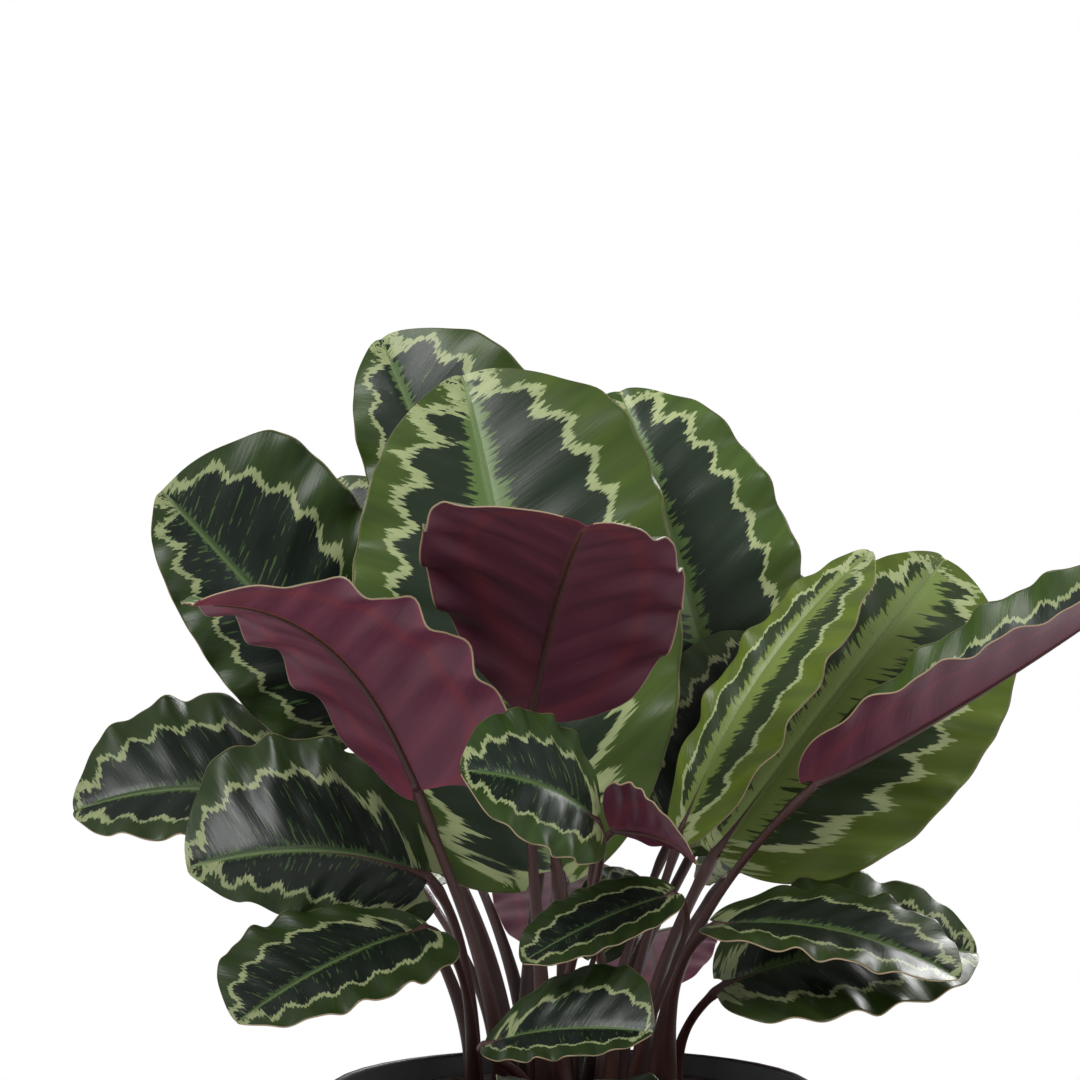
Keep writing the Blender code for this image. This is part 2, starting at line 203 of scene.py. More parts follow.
def makeVeinGroup():
    # streaks that run along the side veins, and the panel wave between one side vein and the next
    group = bpy.data.node_groups.new("veinStreaks", "ShaderNodeTree")
    for label in ("fine", "broad", "panel", "height"):
        group.interface.new_socket(label, in_out="OUTPUT", socket_type="NodeSocketFloat")
    out = group.nodes.new("NodeGroupOutput")
    vein, across, _ = attributeNode(group, "leafPlace")
    _, _, number = attributeNode(group, "leafToneAndLight")
    fineAt = joinNode(group, mathNode(group, "MULTIPLY", vein, veinLook["fineStreaks"]),
                      mathNode(group, "MULTIPLY", across, veinLook["fineLength"]), number)
    broadAt = joinNode(group, mathNode(group, "MULTIPLY", vein, veinLook["broadStreaks"]),
                       mathNode(group, "MULTIPLY", across, veinLook["broadLength"]), number)
    fine = noiseNode(group, fineAt, 1.0, 3.0, 0.6)
    broad = noiseNode(group, broadAt, 1.0, 1.0)
    wave = mathNode(group, "SINE", mathNode(group, "MULTIPLY", vein, 2 * math.pi))
    panel = mathNode(group, "MULTIPLY_ADD", wave, 0.5, 0.5)
    height = mathNode(group, "ADD", mathNode(group, "MULTIPLY", fine, veinLook["fineBump"]),
                      mathNode(group, "MULTIPLY", panel, veinLook["panelBump"]))
    for label, value in (("fine", fine), ("broad", broad), ("panel", panel), ("height", height)):
        group.links.new(value, out.inputs[label])
    return group


# Colours come in pairs, for the darkest and the lightest streaks.
upperLook = {"bandFeather": 0.30, "bandScallop": 0.13, "bandHalfWidth": 0.055, "bandVaries": 0.09,
             "bandSoftness": 0.022, "cream": ((0.270, 0.340, 0.150), (0.520, 0.580, 0.290)),
             "centre": ((0.008, 0.016, 0.010), (0.020, 0.036, 0.025)), "yellowCentre": (0.040, 0.065, 0.014),
             "margin": ((0.030, 0.062, 0.014), (0.064, 0.118, 0.022)),
             "yellowMargin": ((0.095, 0.150, 0.012), (0.190, 0.245, 0.026)),
             "paintedPleatShade": (0.020, 0.034, 0.018), "paintedPleatShare": 0.28,
             "flame": (0.125, 0.225, 0.070), "yellowFlame": (0.260, 0.330, 0.075), "flameShare": 0.8,
             "flameReach": 0.38, "yellowReach": 0.65, "flameShort": 0.14,
             "rib": (0.120, 0.175, 0.060), "ribShare": 0.6, "rim": (0.170, 0.150, 0.070),
             "gloss": 0.30, "roughness": (0.27, 0.16), "bump": 0.35}


def makeUpperSkin(veinGroup):
    # dark centre, feathered cream band, green margin, pale flame along the midrib
    look = upperLook
    material, tree, shader = newMaterial("leafUpperSkin", look["roughness"][0])
    shader.inputs["Specular IOR Level"].default_value = look["gloss"]
    _, across, level = attributeNode(tree, "leafPlace")
    yellow, paintedLight, _ = attributeNode(tree, "leafToneAndLight")
    streak = useGroup(tree, veinGroup)
    fine, broad, panel = streak["fine"], streak["broad"], streak["panel"]
    # the ring level, pushed in and out by the fine streaks and by the scallop between two side veins
    feather = mathNode(tree, "MULTIPLY_ADD", fine, look["bandFeather"], -look["bandFeather"] / 2)
    scallop = mathNode(tree, "MULTIPLY_ADD", panel, look["bandScallop"], -look["bandScallop"] / 2)
    ring = mathNode(tree, "ADD", mathNode(tree, "ADD", level, feather), scallop)
    away = mathNode(tree, "ABSOLUTE", mathNode(tree, "SUBTRACT", ring, 1.0))
    half = mathNode(tree, "MULTIPLY_ADD", broad, look["bandVaries"],
                    look["bandHalfWidth"] - look["bandVaries"] / 2)
    band = rampNode(tree, away, mathNode(tree, "SUBTRACT", half, look["bandSoftness"]), half, 1.0, 0.0)
    outside = rampNode(tree, ring, 0.98, 1.02)
    # centre and margin, greener or yellower
    centre = mixNode(tree, broad, *look["centre"])
    centre = mixNode(tree, mathNode(tree, "MULTIPLY", yellow, 0.75), centre, look["yellowCentre"])
    margin = mixNode(tree, yellow, mixNode(tree, broad, *look["margin"]),
                     mixNode(tree, broad, *look["yellowMargin"]))
    colour = mixNode(tree, outside, centre, margin)
    # painted shade across the pleats: one side of each panel between two side veins pulled towards a dull
    # green, as light falls across a pleat
    colour = mixNode(tree, mathNode(tree, "MULTIPLY", panel, look["paintedPleatShare"]), colour, look["paintedPleatShade"])
    # the flame: streaks that start at the midrib and stop short of the band
    spread = mathNode(tree, "MULTIPLY_ADD", yellow, look["yellowReach"], look["flameReach"])
    reach = mathNode(tree, "SUBTRACT", mathNode(tree, "MULTIPLY", fine, spread), look["flameShort"])
    flame = rampNode(tree, across, mathNode(tree, "MULTIPLY", reach, 0.75), reach, 1.0, 0.0)
    flame = mathNode(tree, "MULTIPLY", flame, mathNode(tree, "SUBTRACT", 1.0, outside))
    flameColour = mixNode(tree, yellow, look["flame"], look["yellowFlame"])
    colour = mixNode(tree, mathNode(tree, "MULTIPLY", flame, look["flameShare"]), colour, flameColour)
    # painted light and shade per leaf, darker for shaded leaves and lighter for lit ones, which the band
    # follows less
    colour = scaled(tree, colour, paintedLight)
    creamPaintedLight = mathNode(tree, "MULTIPLY_ADD", paintedLight, 0.6, 0.32)
    colour = mixNode(tree, band, colour, scaled(tree, mixNode(tree, broad, *look["cream"]), creamPaintedLight))
    rib = rampNode(tree, across, 0.006, 0.022, 1.0, 0.0)
    colour = mixNode(tree, mathNode(tree, "MULTIPLY", rib, look["ribShare"]), colour, look["rib"])
    rim = rampNode(tree, across, 0.986, 0.997)
    plug(tree, mixNode(tree, rim, colour, look["rim"]), shader.inputs["Base Color"])
    smoothest, varies = look["roughness"]
    plug(tree, mathNode(tree, "MULTIPLY_ADD", broad, varies, smoothest), shader.inputs["Roughness"])
    plug(tree, bumpNode(tree, streak["height"], look["bump"], 0.0006), shader.inputs["Normal"])
    return material


underLook = {"wine": ((0.070, 0.016, 0.030), (0.150, 0.034, 0.062)), "ghost": (0.190, 0.028, 0.036),
             "ghostShare": 0.40, "paintedPleatShade": (0.055, 0.014, 0.028), "paintedPleatShare": 0.35,
             "rib": (0.190, 0.070, 0.035), "ribShare": 0.7, "rim": (0.330, 0.240, 0.150),
             "gloss": 0.30, "roughness": (0.38, 0.14), "bump": 0.3}


def makeUnderSkin(veinGroup):
    # wine purple with a redder ghost of the band and an ochre midrib
    look = underLook
    material, tree, shader = newMaterial("leafUnderSkin", look["roughness"][0])
    shader.inputs["Specular IOR Level"].default_value = look["gloss"]
    _, across, level = attributeNode(tree, "leafPlace")
    _, paintedLight, _ = attributeNode(tree, "leafToneAndLight")
    streak = useGroup(tree, veinGroup)
    fine, broad, panel = streak["fine"], streak["broad"], streak["panel"]
    colour = mixNode(tree, broad, *look["wine"])
    away = mathNode(tree, "ABSOLUTE", mathNode(tree, "SUBTRACT", level, 1.0))
    soft = mathNode(tree, "MULTIPLY_ADD", fine, 0.20, 0.02)
    ghost = rampNode(tree, away, mathNode(tree, "MULTIPLY", soft, 0.3), soft, 1.0, 0.0)
    colour = mixNode(tree, mathNode(tree, "MULTIPLY", ghost, look["ghostShare"]), colour, look["ghost"])
    # painted shade across the pleats: one side of each panel between two side veins pulled towards a dark
    # purple, as light falls across a pleat
    colour = mixNode(tree, mathNode(tree, "MULTIPLY", panel, look["paintedPleatShare"]), colour, look["paintedPleatShade"])
    rib = rampNode(tree, across, 0.010, 0.035, 1.0, 0.0)
    colour = mixNode(tree, mathNode(tree, "MULTIPLY", rib, look["ribShare"]), colour, look["rib"])
    # painted light and shade per leaf: the whole underside darker for shaded leaves, lighter for lit ones
    colour = scaled(tree, colour, paintedLight)
    rim = rampNode(tree, across, 0.984, 0.997)
    plug(tree, mixNode(tree, rim, colour, look["rim"]), shader.inputs["Base Color"])
    smoothest, varies = look["roughness"]
    plug(tree, mathNode(tree, "MULTIPLY_ADD", broad, varies, smoothest), shader.inputs["Roughness"])
    plug(tree, bumpNode(tree, streak["height"], look["bump"], 0.0006), shader.inputs["Normal"])
    return material


stemLook = {"maroon": ((0.022, 0.006, 0.006), (0.070, 0.018, 0.018)), "lines": (0.080, 0.040, 0.030),
            "lineShare": 0.45, "foot": (0.045, 0.018, 0.012), "footShare": 0.6, "roughness": 0.38}


def makeStemSkin():
    # maroon with fine lengthwise lines and a brown foot;
    # stemPlace carries (share along, cosine round, sine round plus the stem's own number)
    material, tree, shader = newMaterial("stemSkin", stemLook["roughness"])
    along, around, number = attributeNode(tree, "stemPlace")
    lines = noiseNode(tree, joinNode(tree, mathNode(tree, "MULTIPLY", along, 5.0),
                                     mathNode(tree, "MULTIPLY", around, 26.0), number), 1.0, 3.0)
    cloud = noiseNode(tree, joinNode(tree, mathNode(tree, "MULTIPLY", along, 6.0), around, number), 1.0, 2.0)
    colour = mixNode(tree, cloud, *stemLook["maroon"])
    shown = mathNode(tree, "MULTIPLY", lines, stemLook["lineShare"])
    colour = mixNode(tree, shown, colour, stemLook["lines"])
    foot = rampNode(tree, along, 0.02, 0.30, 1.0, 0.0)
    colour = mixNode(tree, mathNode(tree, "MULTIPLY", foot, stemLook["footShare"]), colour, stemLook["foot"])
    plug(tree, colour, shader.inputs["Base Color"])
    plug(tree, bumpNode(tree, lines, 0.35, 0.0006), shader.inputs["Normal"])
    return material


# Each leaf: base and tip of the midrib, width, face (azimuth, elevation) of the upper side, root of the
# stem, and tone (yellowness, lightness), where the lightness is painted light and shade. Pairs of fold, curl,
# wide, square and halves are (left, right).
usualLeaf = dict(arch=0.10, fold=(12, 12), curl=(-14, -14), wave=0.0035, waves=5, phase=0.0, twist=0,
                 wide=(0.46, 0.46), square=(2.1, 2.1), halves=(1.0, 1.0), lobes=0.03, sway=(0.0, 0.0),
                 toneAndLight=(0.0, 0.8))
bladeBuild = {"rows": 110, "columns": 64, "crowding": 0.92, "thickness": 0.0005, "trim": 0.0015,
              "tipNarrows": 0.25, "pleatHeight": 0.0004, "marginPleat": 0.0004, "scallop": 0.005,
              "grooveDepth": 0.0006, "grooveWidth": 0.0016, "veinLean": 0.42, "veinBend": 0.10,
              "fewestVeins": 4.5, "veinsPerMetre": 30.0, "usualWidth": 0.1, "fullWaveWidth": 0.09,
              "leftPhase": 0.31, "ringNear": 0.50, "ringFurther": 0.20, "ringEnd": 0.95, "ringPower": 1.9,
              "sideShift": 7.0, "toneStep": 1.7}
leaves = {
    "leaf_centre": dict(
        base=(-0.005, 0.0, 0.227), tip=(-0.039, 0.045, 0.4), width=0.122, face=(4, 12),
        root=(-0.003, 0.007), toneAndLight=(0.25, 0.85), arch=0.05, wide=(0.35, 0.6), square=(1.9, 2.6)),
    "leaf_back_top": dict(
        base=(-0.011, 0.078, 0.283), tip=(-0.07, 0.1, 0.413), width=0.08, face=(-10, 15),
        root=(-0.014, 0.018), toneAndLight=(0.1, 0.75), sway=(-0.008, 0.0), arch=0.08, wide=(0.5, 0.6),
        halves=(0.66, 1.2)),
    "leaf_purple_centre": dict(
        base=(-0.014, -0.03, 0.284), tip=(0.004, -0.13, 0.353), width=0.094, face=(180, 35),
        root=(-0.009, -0.004), toneAndLight=(0.0, 0.9), wide=(0.38, 0.7), square=(2.0, 2.7), halves=(0.92, 1.06)),
    "leaf_purple_left": dict(
        base=(-0.052, -0.054, 0.26), tip=(-0.123, -0.122, 0.327), width=0.085, face=(150, 50),
        root=(-0.024, -0.014), toneAndLight=(0.0, 1.3), sway=(0.0, -0.02), arch=0.18, wide=(0.26, 0.45),
        square=(2.5, 2.1), halves=(1.15, 0.75)),
    "leaf_left_upper": dict(
        base=(-0.073, 0.045, 0.277), tip=(-0.145, 0.022, 0.359), width=0.082, face=(-10, 20),
        root=(-0.021, 0.009), toneAndLight=(0.0, 0.5), wide=(0.34, 0.66), square=(2.0, 3.2), halves=(0.74, 1.2)),
    "leaf_back_left": dict(
        base=(-0.055, 0.09, 0.265), tip=(-0.087, 0.11, 0.361), width=0.07, face=(0, 25),
        root=(-0.015, 0.026), toneAndLight=(0.1, 0.7)),
    "leaf_right_upper": dict(
        base=(0.056, 0.06, 0.268), tip=(0.018, 0.08, 0.394), width=0.098, face=(10, 10),
        root=(0.012, 0.016), toneAndLight=(0.15, 1.15), arch=0.08, wide=(0.5, 0.44), halves=(1.0, 0.88)),
    "leaf_right_inner": dict(
        base=(0.035, 0.034, 0.234), tip=(0.071, 0.056, 0.305), width=0.06, face=(10, 15),
        root=(0.011, 0.006), toneAndLight=(0.1, 0.6), arch=0.08),
    "leaf_small_round": dict(
        base=(0.008, -0.074, 0.252), tip=(-0.037, -0.106, 0.272), width=0.056, face=(0, 38),
        root=(0.0, -0.013), toneAndLight=(0.0, 0.7), sway=(-0.014, 0.0), arch=0.12),
    "leaf_small_purple": dict(
        base=(0.014, -0.046, 0.246), tip=(0.041, -0.073, 0.238), width=0.044, face=(180, 45),
        root=(0.012, -0.01), toneAndLight=(0.0, 1.05), sway=(0.01, 0.0), waves=2, wide=(0.5, 0.6),
        square=(2.0, 2.6), halves=(0.5, 1.4)),
    "leaf_right_narrow": dict(
        base=(0.038, -0.01, 0.242), tip=(0.104, 0.0, 0.339), width=0.064, face=(-52, 22),
        root=(0.017, -0.003), toneAndLight=(0.75, 0.95), arch=0.08, halves=(0.5, 1.0)),
    "leaf_right_large": dict(
        base=(0.05, 0.012, 0.231), tip=(0.133, 0.034, 0.335), width=0.112, face=(0, 20),
        root=(0.024, 0.008), toneAndLight=(0.65, 0.95), arch=0.06, wide=(0.46, 0.54), square=(2.1, 2.4),
        halves=(0.5, 1.0), lobes=0.0),
    "leaf_purple_right": dict(
        base=(0.083, -0.03, 0.26), tip=(0.195, -0.06, 0.333), width=0.062, face=(0, 65),
        root=(0.029, -0.003), toneAndLight=(0.1, 0.95), arch=-0.02, fold=(38, 68), curl=(-10, -20), twist=40,
        halves=(0.85, 0.85)),
    "leaf_lower_right_front": dict(
        base=(0.048, -0.04, 0.213), tip=(0.129, -0.072, 0.199), width=0.058, face=(20, 70),
        root=(0.034, -0.01), toneAndLight=(0.1, 0.42), arch=0.09),
    "leaf_lower_right_back": dict(
        base=(0.052, -0.024, 0.19), tip=(0.14, -0.02, 0.201), width=0.07, face=(10, 55),
        root=(0.036, 0.006), toneAndLight=(0.1, 0.45)),
    "leaf_left_far": dict(
        base=(-0.086, 0.03, 0.243), tip=(-0.176, 0.02, 0.246), width=0.076, face=(-10, 45),
        root=(-0.034, 0.011), toneAndLight=(0.05, 0.4), arch=0.15, halves=(0.7, 1.1)),
    "leaf_left_large": dict(
        base=(-0.049, -0.028, 0.228), tip=(-0.131, -0.046, 0.233), width=0.084, face=(-10, 32),
        root=(-0.034, 0.001), toneAndLight=(0.0, 0.4), arch=0.2, fold=(-40, 8), wide=(0.3, 0.6),
        square=(2.1, 2.8), halves=(0.62, 1.04), lobes=0.12),
    "leaf_left_lower": dict(
        base=(-0.05, -0.046, 0.213), tip=(-0.111, -0.09, 0.187), width=0.06, face=(-20, 48),
        root=(-0.034, -0.01), toneAndLight=(0.0, 0.4), arch=0.06, wide=(0.35, 0.6)),
    "leaf_front_low": dict(
        base=(-0.03, -0.066, 0.176), tip=(0.026, -0.098, 0.185), width=0.048, face=(-10, 45),
        root=(-0.014, -0.021), toneAndLight=(0.0, 0.38), arch=0.08, wide=(0.66, 0.5), halves=(1.05, 0.6),
        lobes=0.0),
    "leaf_front_rim": dict(
        base=(-0.004, -0.042, 0.157), tip=(0.02, -0.128, 0.148), width=0.064, face=(5, 62),
        root=(0.004, -0.023), toneAndLight=(0.0, 0.36), arch=0.05, fold=(8, 22), curl=(-10, -5)),
    "leaf_mid_curled": dict(
        base=(0.034, -0.058, 0.226), tip=(-0.017, -0.084, 0.206), width=0.032, face=(0, 60),
        root=(0.02, -0.019), toneAndLight=(0.0, 0.38), sway=(0.0, -0.01), arch=0.05),
    "leaf_back_small": dict(
        base=(0.008, 0.03, 0.192), tip=(0.02, 0.05, 0.222), width=0.026, face=(0, 30),
        root=(0.001, 0.017), toneAndLight=(0.0, 0.5)),
    "leaf_back_middle": dict(
        base=(-0.002, 0.054, 0.222), tip=(-0.01, 0.122, 0.182), width=0.046, face=(180, 60),
        root=(-0.003, 0.028), toneAndLight=(0.0, 1.3), arch=0.1),
    "leaf_back_low": dict(
        base=(0.026, 0.058, 0.197), tip=(0.034, 0.118, 0.168), width=0.05, face=(180, 60),
        root=(0.006, 0.027), toneAndLight=(0.0, 1.3), arch=0.12),
    "leaf_back_right": dict(
        base=(0.062, 0.08, 0.259), tip=(0.087, 0.1, 0.325), width=0.06, face=(10, 25),
        root=(0.016, 0.026), toneAndLight=(0.1, 0.6)),
    "leaf_back_low_left": dict(
        base=(-0.055, 0.065, 0.215), tip=(-0.11, 0.13, 0.215), width=0.065, face=(200, 60),
        root=(-0.025, 0.019), toneAndLight=(0.05, 0.6), arch=0.12),
    "leaf_back_low_right": dict(
        base=(0.055, 0.07, 0.215), tip=(0.125, 0.125, 0.225), width=0.065, face=(150, 62),
        root=(0.024, 0.018), toneAndLight=(0.05, 0.6), arch=0.12),
}


def facing(azimuth, elevation):
    # unit vector towards that azimuth (0 is -Y, 90 is +X) and elevation
    a, e = math.radians(azimuth), math.radians(elevation)
    return np.array([math.sin(a) * math.cos(e), -math.cos(a) * math.cos(e), math.sin(e)])


def midrib(leaf, u):
    # base-to-tip line plus normal * arch * length * 4u(1 - u)
    base, tip = np.array(leaf["base"]), np.array(leaf["tip"])
    along = tip - base
    length = np.linalg.norm(along)
    normal = facing(*leaf["face"])
    normal = unit(normal - along * (normal @ along) / length ** 2)
    bow = leaf["arch"] * length * 4 * u * (1 - u)
    return base + along * u[:, None] + normal * bow[:, None], normal, length


def skewedShare(leaf, u, side):
    # the share along the midrib, bent so that one half sits at the widest place
    return np.clip(u, 0, 1) ** (math.log(0.5) / math.log(leaf["wide"][side]))


def outline(leaf, u, side):
    # superellipse (1 - |2s - 1|^p)^(1/p) of the skewed share s, narrowed towards the tip
    power = leaf["square"][side]
    body = (1 - np.abs(2 * skewedShare(leaf, u, side) - 1) ** power) ** (1 / power)
    return body * (1 - bladeBuild["tipNarrows"] * smoothStep(u, 0.90, 1.0))


def bladeFrame(leaf, u):
    # midrib points with their tangent, upward and sideways directions, turned by twist * (u - 1/2)
    spine, normal, length = midrib(leaf, u)
    step = 1e-4
    tangent = unit(midrib(leaf, u + step)[0] - midrib(leaf, u - step)[0])
    up = unit(normal - tangent * (tangent @ normal)[:, None])
    side = np.cross(tangent, up)
    turn = np.radians(leaf["twist"]) * (u - 0.5)[:, None]
    up, side = up * np.cos(turn) + side * np.sin(turn), side * np.cos(turn) - up * np.sin(turn)
    return spine, tangent, up, side, length


def bladeSurface(leaf):
    # The blade as a function of u, from base to tip, and v, from the left to the right margin.
    # Each half leaves the midrib at its fold angle, which changes evenly to fold + curl: at distance d
    # out = (sin(fold + rate d) - sin fold) / rate and rise = (cos fold - cos(fold + rate d)) / rate.
    # The margin waves along the normal by wave * |v|^2.5 * sin(2 pi (waves * u + phase)) * sin(pi u)^0.7,
    # and pleats follow the side veins as cos(2 pi vein), the vein growing with u and falling with d.
    # The ring level is the superellipse radius of (place along the midrib, share of the way across).
    build = bladeBuild
    trim = build["trim"]
    u = trim + (1 - 2 * trim) * (1 - np.cos(np.linspace(0, math.pi, build["rows"] + 1))) / 2
    v = np.linspace(-1, 1, build["columns"] + 1)
    v = np.sign(v) * np.abs(v) ** build["crowding"]
    spine, tangent, up, side, length = bladeFrame(leaf, u)
    hand = (v > 0).astype(int)
    sign = np.where(v < 0, -1.0, 1.0)
    shape = np.stack([outline(leaf, u, 0), outline(leaf, u, 1)], -1)[:, hand]
    skewed = np.stack([skewedShare(leaf, u, 0), skewedShare(leaf, u, 1)], -1)[:, hand]
    share = np.abs(v)[None, :]
    halfWidth = leaf["width"] / 2 * np.array(leaf["halves"])[hand]
    rawDistance = share * shape * halfWidth
    vein = u[:, None] - build["veinLean"] * rawDistance / length
    vein = vein - build["veinBend"] * (share * shape) ** 2 * (1 - u[:, None])
    vein = vein * (build["fewestVeins"] + build["veinsPerMetre"] * length)
    wave = np.cos(2 * math.pi * vein)
    distance = rawDistance * (1 - build["scallop"] * share ** 3 * (1 - wave))
    fold = np.radians(np.array(leaf["fold"], float))[hand]
    rate = np.radians(np.array(leaf["curl"], float))[hand] * 2 / leaf["width"]
    out = (np.sin(fold + rate * distance) - np.sin(fold)) / rate
    rise = (np.cos(fold) - np.cos(fold + rate * distance)) / rate
    ends = np.sin(math.pi * u)[:, None] ** 0.7
    phase = leaf["phase"] + np.where(v < 0, build["leftPhase"], 0.0)
    waveHeight = leaf["wave"] * min(1.0, (leaf["width"] / build["fullWaveWidth"]) ** 2)
    marginWave = np.sin(2 * math.pi * (leaf["waves"] * u[:, None] + phase))
    rise = rise + waveHeight * share ** 2.5 * marginWave * ends
    size = math.sqrt(leaf["width"] / build["usualWidth"])
    pleat = build["pleatHeight"] * smoothStep(share, 0.04, 0.35) + build["marginPleat"] * share ** 8
    rise = rise + size * pleat * wave * ends
    rise = rise - build["grooveDepth"] * size * np.exp(-(distance / build["grooveWidth"]) ** 2)
    lobe = np.maximum(0.0, share - 0.45) / 0.55
    back = -leaf["lobes"] * length * lobe ** 2 * np.clip(1 - u[:, None] / 0.35, 0, 1) ** 2
    points = (spine[:, None] + side[:, None] * (sign * out)[..., None] + up[:, None] * rise[..., None]
              + tangent[:, None] * back[..., None])
    # small leaves wear the band further in
    ringAt = build["ringNear"] + build["ringFurther"] * min(1.0, leaf["width"] / build["usualWidth"])
    power = build["ringPower"]
    level = (np.abs(2 * skewed - 1) / build["ringEnd"]) ** power + (share * shape / ringAt) ** power
    level = level ** (1 / power)
    place = np.stack([vein + build["sideShift"] * (v > 0), np.broadcast_to(share, vein.shape), level], -1)
    return points, place


def makeBlade(name, leaf, number, upperSkin, underSkin):
    # two skins half a thickness above and below the surface, joined round the margin
    points, place = bladeSurface(leaf)
    rows, columns = points.shape[:2]
    normals = unit(np.cross(np.gradient(points, axis=1), np.gradient(points, axis=0)))
    shift = normals * bladeBuild["thickness"] / 2
    count = rows * columns
    skins = np.concatenate([(points + shift).reshape(-1, 3), (points - shift).reshape(-1, 3)])
    upper = gridFaces(rows, columns)
    under = gridFaces(rows, columns, start=count, flip=True)
    ring = np.concatenate([np.arange(columns), np.arange(1, rows) * columns + columns - 1,
                           (rows - 1) * columns + np.arange(columns - 2, -1, -1),
                           np.arange(rows - 2, 0, -1) * columns])
    after = np.roll(ring, -1)
    margin = np.stack([after, ring, ring + count, after + count], -1)
    quads = np.concatenate([upper, under, margin])
    slots = np.concatenate([np.zeros(len(upper)), np.ones(len(under)), np.ones(len(margin))])
    # yellowness, painted light and shade, and the leaf's number at every point
    toneAndLight = np.broadcast_to([*leaf["toneAndLight"], number * bladeBuild["toneStep"]], skins.shape)
    piece = newPiece(name + "_blade_skin", skins, quads, [upperSkin, underSkin], slots=slots,
                     attributes={"leafPlace": np.concatenate([place.reshape(-1, 3)] * 2), "leafToneAndLight": toneAndLight})
    finishPiece(piece, "leaf_skin", name + "_blade")


stemBuild = {"rings": 60, "sides": 16, "ribRings": 50, "rise": 0.38, "approach": 0.30, "alongBlade": 0.6,
             "seat": 0.0003, "meets": 0.006, "sheathRadius": 0.0040, "petioleRadius": 0.0019,
             "sheathEnds": 0.55, "sheathLeaf": 0.100, "swelling": 0.12, "swellings": 9, "pulvinus": 0.0005,
             "pulvinusAt": 0.91, "pulvinusLength": 0.05, "ribStart": 0.012, "ribEnd": 0.93,
             "ribRadius": 0.0011, "ribTip": 0.00015, "ribSink": 0.0006, "numberStep": 2.3, "lastShare": 1.6}


def tube(path, radii, sides):
    # circles round the path, in planes square to it, carried along without turning
    tangents = unit(np.gradient(path, axis=0))
    first = np.array([1.0, 0.0, 0.0])
    frames = []
    for tangent in tangents:
        first = unit(first - tangent * (first @ tangent))
        frames.append((first, np.cross(tangent, first)))
    frames = np.array(frames)
    angles = np.linspace(0, 2 * math.pi, sides, endpoint=False)
    circles = (frames[:, None, 0] * np.cos(angles)[None, :, None]
               + frames[:, None, 1] * np.sin(angles)[None, :, None])
    return path[:, None] + radii[:, None, None] * circles, angles


def stemLine(leaf, number):
    # The cubic curve (1-s)^3 root + 3s(1-s)^2 lift + 3s^2(1-s) last + s^3 end, rootstock to blade.
    # The radius falls from the sheath's to the petiole's as (1 - s/0.55)^1.2 and swells at the pulvinus.
    build = stemBuild
    spine, _, _ = midrib(leaf, np.array([build["meets"], build["meets"] + 0.01]))
    along = unit(spine[1] - spine[0])
    end = spine[0]
    root = np.array([*leaf["root"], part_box("crown")[1].z + build["seat"]])
    span = np.linalg.norm(end - root)
    lift = root + np.array([*leaf["sway"], build["rise"] * span])
    arrival = unit(build["alongBlade"] * along + (1 - build["alongBlade"]) * unit(end - root))
    last = end - arrival * build["approach"] * span
    s = np.linspace(0, 1, build["rings"])[:, None]
    path = (1 - s) ** 3 * root + 3 * s * (1 - s) ** 2 * lift + 3 * s ** 2 * (1 - s) * last + s ** 3 * end
    s = s[:, 0]
    sheath = np.clip(1 - s / build["sheathEnds"], 0, 1) ** 1.2
    swelling = build["swelling"] * sheath * np.sin(build["swellings"] * s + number)
    pulvinus = np.exp(-((s - build["pulvinusAt"]) / build["pulvinusLength"]) ** 2)
    thicker = build["sheathRadius"] - build["petioleRadius"]
    size = math.sqrt(leaf["width"] / build["sheathLeaf"])
    radii = build["petioleRadius"] + thicker * (sheath + swelling) + build["pulvinus"] * pulvinus
    return path, size * radii


def ribLine(leaf, stemEnd, stemRadius):
    # Just under the midrib, its radius falling as (1 - u)^0.8; over its first stretch, place and radius
    # change from the stem's to its own by exp(-distance).
    build = stemBuild
    size = math.sqrt(leaf["width"] / build["sheathLeaf"])
    u = np.linspace(build["ribStart"], build["ribEnd"], build["ribRings"])
    spine, _, up, _, _ = bladeFrame(leaf, u)
    radii = size * build["ribRadius"] * (1 - u) ** 0.8 + build["ribTip"]
    radii = radii + (stemRadius - radii[0]) * np.exp(-(u - u[0]) / 0.03)
    path = spine - up * (radii * 0.75 + build["ribSink"] * size)[:, None]
    return path + (stemEnd - path[0]) * np.exp(-(u - u[0]) / 0.05)[:, None], radii


def makeStem(name, leaf, number, skin):
    # the stem and, on from it under the blade, the rib, as one closed tube
    path, radii = stemLine(leaf, number)
    ribPath, ribRadii = ribLine(leaf, path[-1], radii[-1])
    path = np.concatenate([path, ribPath])
    radii = np.concatenate([radii, ribRadii])
    rings, angles = tube(path, radii, stemBuild["sides"])
    rows, columns = rings.shape[:2]
    count = rows * columns
    points = np.concatenate([rings.reshape(-1, 3), path[[0, -1]]])
    k = np.arange(columns)
    n = (k + 1) % columns
    bottom = np.stack([np.full(columns, count), n, k], -1)
    top = np.stack([np.full(columns, count + 1), count - columns + k, count - columns + n], -1)
    lengths = np.concatenate([[0], np.cumsum(np.linalg.norm(np.diff(path, axis=0), axis=1))])
    share = np.minimum(lengths / lengths[stemBuild["rings"] - 1], stemBuild["lastShare"])
    shift = number * stemBuild["numberStep"]
    place = np.zeros((rows, columns, 3))
    place[..., 0] = share[:, None]
    place[..., 1] = np.cos(angles)[None, :]
    place[..., 2] = shift + np.sin(angles)[None, :]
    ends = [[share[0], 0, shift], [share[-1], 0, shift]]
    piece = newPiece(name + "_stem_skin", points, gridFaces(rows, columns, wrap=True), [skin],
                     triangles=np.concatenate([bottom, top]),
                     attributes={"stemPlace": np.concatenate([place.reshape(-1, 3), ends])})
    finishPiece(piece, "stem_skin", name + "_stem")


